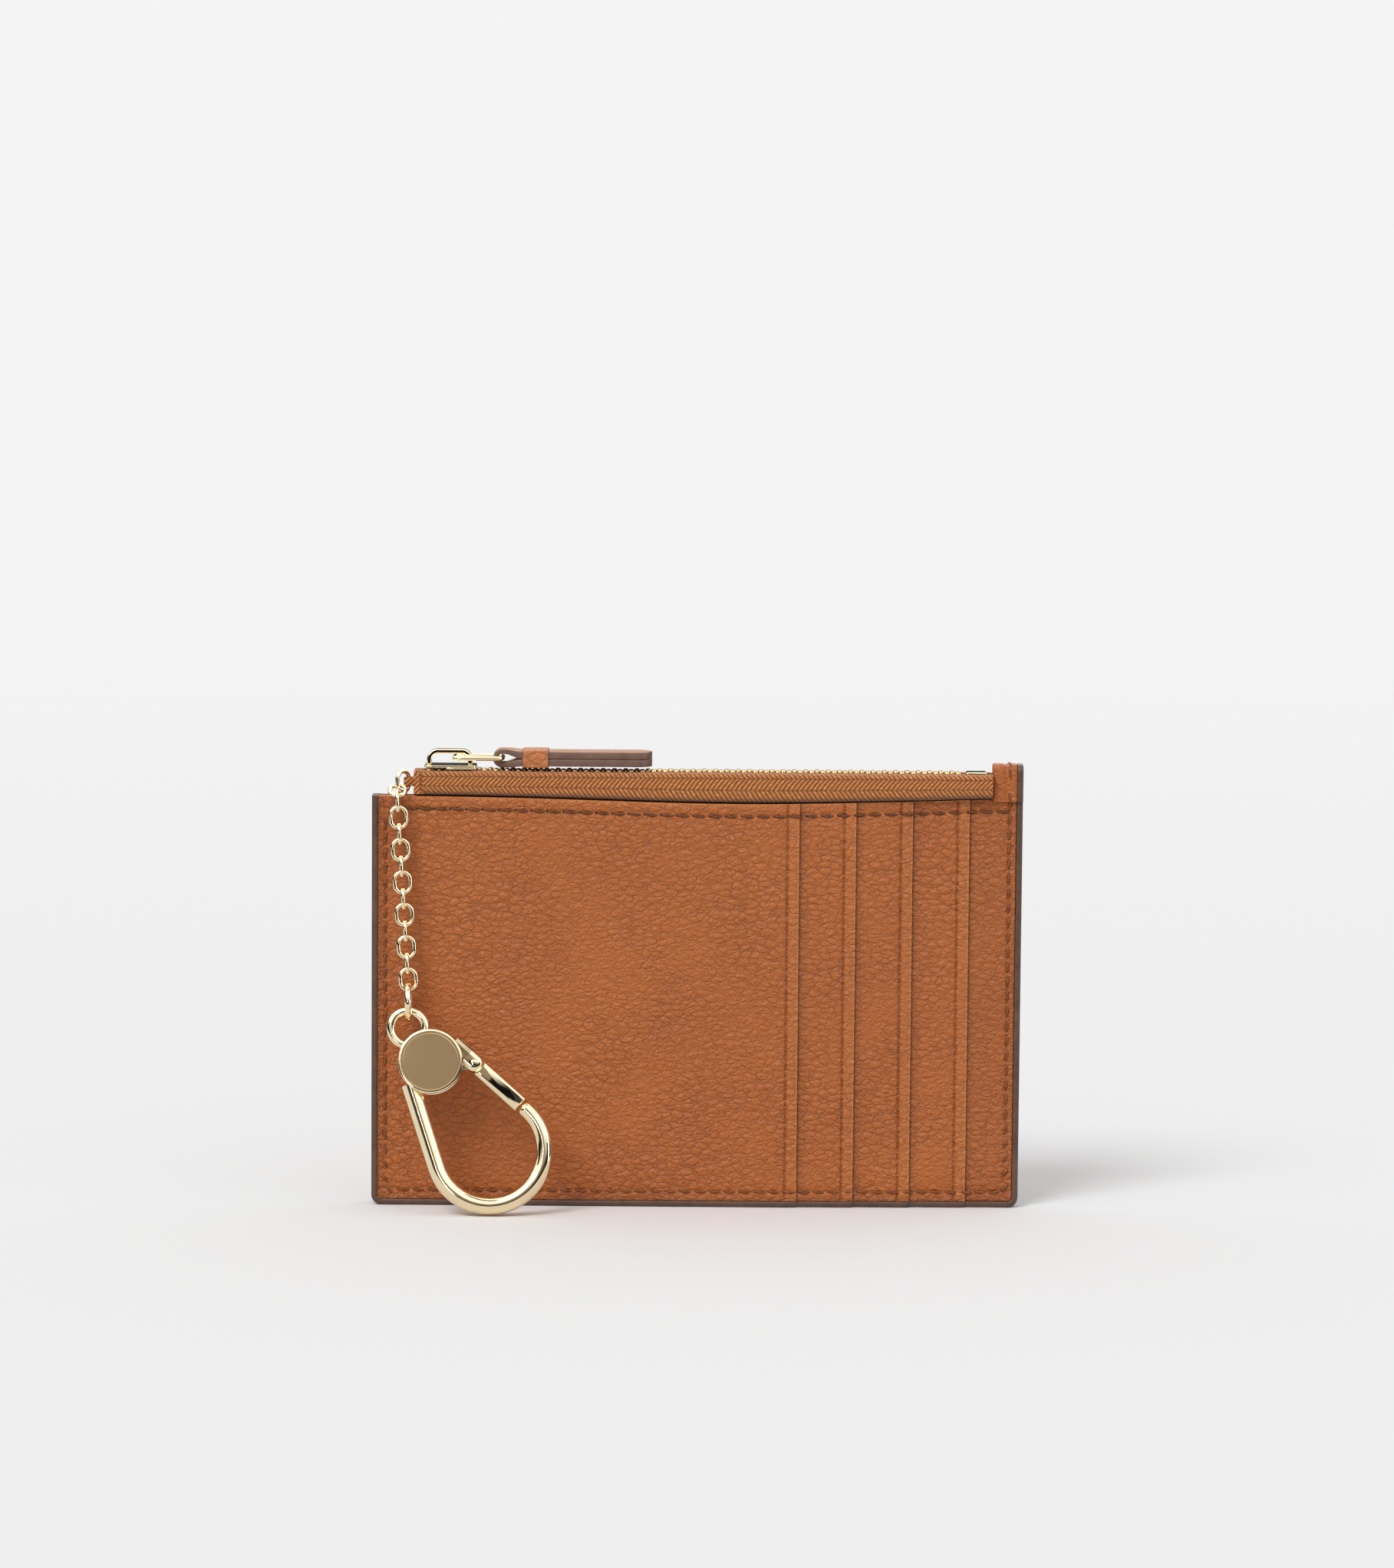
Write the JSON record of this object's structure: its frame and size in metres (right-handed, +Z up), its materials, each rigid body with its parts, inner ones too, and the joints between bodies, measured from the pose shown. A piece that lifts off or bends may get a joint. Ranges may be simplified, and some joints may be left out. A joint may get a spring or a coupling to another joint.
{
  "type": "zip card case",
  "caption": "Flat tan leather case with a zip along the top, side-opening card slots, a leather zip pull and a snap clip on a short chain.",
  "frame": {"origin": "middle of the case's flat bottom edge, under the zip's centre line", "axes": "+X to the viewer's right along the zip, -Y out of the front with the card slots, +Z up to the zip"},
  "size_m": [0.127, 0.023, 0.0898],
  "materials": {
    "leather": "smooth pebbled tan",
    "painted_edge": "dark brown sealed edge",
    "zip_tape": "herringbone weave",
    "lining": "plain weave",
    "gold_metal": "polished pale gold",
    "spring_steel": "plain"
  },
  "bodies": {
    "case": {"back_panel": "leather", "lining_back": "lining", "lining_front": "lining", "front_base_panel": "leather", "pocket_backing_1": "lining", "pocket_backing_2": "lining", "pocket_backing_3": "lining", "pocket_backing_4": "lining", "card_panel_1": "leather", "card_panel_2": "leather", "card_panel_3": "leather", "card_panel_4": "leather", "painted_edge": "painted_edge", "zip_tape_front": "zip_tape", "zip_tape_back": "zip_tape", "zip_teeth_front": "gold_metal", "zip_teeth_back": "gold_metal", "zip_bottom_stop": "gold_metal", "zip_top_stops": "gold_metal", "zip_end_tab": "leather", "chain_tab": "zip_tape"},
    "slider": {"slider_body": "gold_metal", "slider_bridge": "gold_metal"},
    "ring": {"pull_ring": "gold_metal"},
    "pull": {"leather_pull": "leather", "pull_keeper": "leather"},
    "link_01": {"chain_link_01": "gold_metal"},
    "link_02": {"chain_link_02": "gold_metal"},
    "link_03": {"chain_link_03": "gold_metal"},
    "link_04": {"chain_link_04": "gold_metal"},
    "link_05": {"chain_link_05": "gold_metal"},
    "link_06": {"chain_link_06": "gold_metal"},
    "link_07": {"chain_link_07": "gold_metal"},
    "link_08": {"chain_link_08": "gold_metal"},
    "link_09": {"chain_link_09": "gold_metal"},
    "link_10": {"chain_link_10": "gold_metal"},
    "link_11": {"chain_link_11": "gold_metal"},
    "link_12": {"chain_link_12": "gold_metal"},
    "link_13": {"chain_link_13": "gold_metal"},
    "link_14": {"chain_link_14": "gold_metal"},
    "ring_of_clip": {"jump_ring": "gold_metal"},
    "clip": {"clip_frame": "gold_metal", "clip_cap_front": "gold_metal", "clip_cap_back": "gold_metal", "clip_rivet": "gold_metal", "gate_pin": "gold_metal", "gate_spring": "spring_steel"},
    "gate": {"clip_gate": "gold_metal"}
  },
  "joints": [
    {"name": "zip_slide", "type": "slide", "parent": "case", "child": "slider", "axis": [1, 0, 0], "range_m": [0, 0.0953], "deforming": ["zip_teeth_front", "zip_teeth_back"]},
    {"name": "ring_lift", "type": "hinge", "parent": "slider", "child": "ring", "pos_m": [-0.04745, 0, 0.08795], "axis": [0, -1, 0], "range_deg": [0, 17]},
    {"name": "pull_swing", "type": "hinge", "parent": "ring", "child": "pull", "pos_m": [-0.03815, 0, 0.08795], "axis": [0, -1, 0], "range_deg": [0, 100]},
    {"name": "link_01_turn", "type": "hinge", "parent": "case", "child": "link_01", "pos_m": [-0.0564, -0.0013, 0.08325], "axis": [0, 0, 1], "range_deg": [-4, 5]},
    {"name": "link_02_lift", "type": "hinge", "parent": "link_01", "child": "link_02", "pos_m": [-0.05842, -0.00266, 0.08236], "axis": [-1, 0, 0], "range_deg": [0, 20]},
    {"name": "link_03_out", "type": "hinge", "parent": "link_02", "child": "link_03", "pos_m": [-0.05842, -0.006, 0.08088], "axis": [-1, 0, 0], "range_deg": [0, 11]},
    {"name": "link_04_side", "type": "hinge", "parent": "link_03", "child": "link_04", "pos_m": [-0.05822, -0.00618, 0.07773], "axis": [-0.0037, -0.9983, 0.0573], "range_deg": [-9, 9]},
    {"name": "link_05_out", "type": "hinge", "parent": "link_04", "child": "link_05", "pos_m": [-0.05802, -0.00636, 0.07458], "axis": [-0.9979, 0, -0.0645], "range_deg": [0, 11]},
    {"name": "link_06_side", "type": "hinge", "parent": "link_05", "child": "link_06", "pos_m": [-0.05781, -0.00654, 0.07144], "axis": [-0.0037, -0.9983, 0.0573], "range_deg": [-9, 9]},
    {"name": "link_07_out", "type": "hinge", "parent": "link_06", "child": "link_07", "pos_m": [-0.05761, -0.00672, 0.06829], "axis": [-0.9979, 0, -0.0645], "range_deg": [0, 11]},
    {"name": "link_08_side", "type": "hinge", "parent": "link_07", "child": "link_08", "pos_m": [-0.0574, -0.0069, 0.06514], "axis": [-0.0037, -0.9983, 0.0573], "range_deg": [-9, 9]},
    {"name": "link_09_out", "type": "hinge", "parent": "link_08", "child": "link_09", "pos_m": [-0.0572, -0.00708, 0.06199], "axis": [-0.9979, 0, -0.0645], "range_deg": [0, 11]},
    {"name": "link_10_side", "type": "hinge", "parent": "link_09", "child": "link_10", "pos_m": [-0.057, -0.00726, 0.05884], "axis": [-0.0037, -0.9983, 0.0573], "range_deg": [-9, 9]},
    {"name": "link_11_out", "type": "hinge", "parent": "link_10", "child": "link_11", "pos_m": [-0.05679, -0.00745, 0.0557], "axis": [-0.9979, 0, -0.0645], "range_deg": [0, 11]},
    {"name": "link_12_side", "type": "hinge", "parent": "link_11", "child": "link_12", "pos_m": [-0.05659, -0.00763, 0.05255], "axis": [-0.0037, -0.9983, 0.0573], "range_deg": [-9, 9]},
    {"name": "link_13_out", "type": "hinge", "parent": "link_12", "child": "link_13", "pos_m": [-0.05639, -0.00781, 0.0494], "axis": [-0.9979, 0, -0.0645], "range_deg": [0, 11]},
    {"name": "link_14_side", "type": "hinge", "parent": "link_13", "child": "link_14", "pos_m": [-0.05618, -0.00799, 0.04625], "axis": [-0.0037, -0.9983, 0.0573], "range_deg": [-9, 9]},
    {"name": "jump_ring_out", "type": "hinge", "parent": "link_14", "child": "ring_of_clip", "pos_m": [-0.05598, -0.00817, 0.0431], "axis": [-0.9979, 0, -0.0645], "range_deg": [0, 14]},
    {"name": "clip_swing", "type": "hinge", "parent": "ring_of_clip", "child": "clip", "pos_m": [-0.05605, -0.00952, 0.03755], "axis": [0, -0.9781, 0.2079], "range_deg": [-18, 18]},
    {"name": "gate_open", "type": "hinge", "parent": "clip", "child": "gate", "pos_m": [-0.04313, -0.01131, 0.02912], "axis": [0, 0.9781, -0.2079], "range_deg": [0, 24], "stiffness_Nm_per_rad": 0.004, "springref_deg": -17.19, "deforming": ["gate_spring"]}
  ],
  "couplings": [
    {"joint": "ring_lift", "follows": "zip_slide", "rad_per_m": 2.9}
  ]
}
